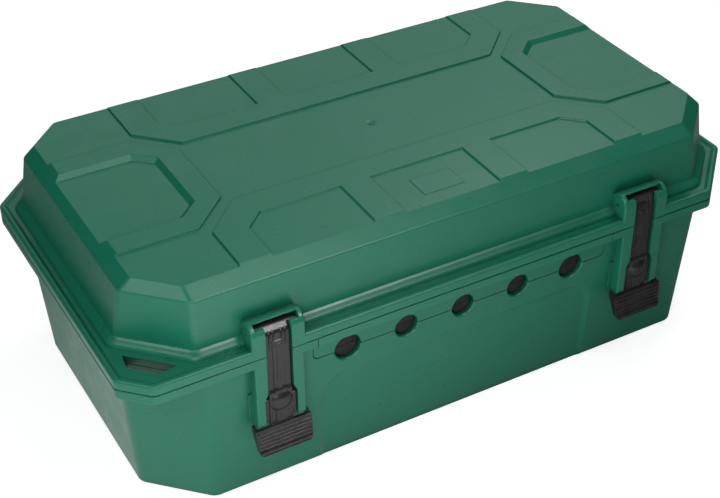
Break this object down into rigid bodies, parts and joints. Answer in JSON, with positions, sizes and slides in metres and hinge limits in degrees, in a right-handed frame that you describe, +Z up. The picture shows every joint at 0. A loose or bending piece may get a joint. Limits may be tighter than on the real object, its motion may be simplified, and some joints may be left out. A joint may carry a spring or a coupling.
{
  "type": "weatherproof storage case with cable ports",
  "caption": "Low plastic case with a rear-hinged lid, over-centre front latches, a row of sealed cable ports in the front wall and a padlock eye in one flange corner.",
  "frame": {"origin": "centre of the base shell's underside, on the plane the case stands on", "axes": "+Z up, +X to the right as seen from the latch side, +Y to the hinge side; the latches face -Y"},
  "size_m": [0.4, 0.2342, 0.1405],
  "materials": {
    "green_plastic": "satin moulded plastic",
    "black_plastic": "satin moulded plastic",
    "black_rubber": "matt rubber",
    "steel": "plain zinc-plated steel"
  },
  "bodies": {
    "base": {"lower_shell": "green_plastic", "lower_seal_1": "black_rubber", "lower_seal_2": "black_rubber", "lower_seal_3": "black_rubber", "lower_seal_4": "black_rubber", "lower_seal_5": "black_rubber", "lower_seal_retainer": "black_plastic", "lower_retainer_screws": "steel", "hinge_pin_left": "steel", "hinge_pin_right": "steel"},
    "lid": {"upper_shell": "green_plastic", "cable_port_bar": "green_plastic", "port_bar_screws": "steel", "upper_seal_1": "black_rubber", "upper_seal_2": "black_rubber", "upper_seal_3": "black_rubber", "upper_seal_4": "black_rubber", "upper_seal_5": "black_rubber", "upper_seal_retainer": "black_plastic", "upper_retainer_screws": "steel", "rim_gasket": "black_rubber", "latch_pin_left": "steel", "latch_pin_right": "steel"},
    "left_latch": {"latch_left": "black_plastic"},
    "right_latch": {"latch_right": "black_plastic"}
  },
  "joints": [
    {"name": "lid_hinge", "type": "hinge", "parent": "base", "child": "lid", "pos_m": [0, 0.1153, 0.0953], "axis": [-1, 0, 0], "range_deg": [0, 105]},
    {"name": "left_latch_pivot", "type": "hinge", "parent": "lid", "child": "left_latch", "pos_m": [-0.1164, -0.103, 0.1084], "axis": [-1, 0, 0], "range_deg": [0, 100]},
    {"name": "right_latch_pivot", "type": "hinge", "parent": "lid", "child": "right_latch", "pos_m": [0.1164, -0.103, 0.1084], "axis": [-1, 0, 0], "range_deg": [0, 100]}
  ]
}
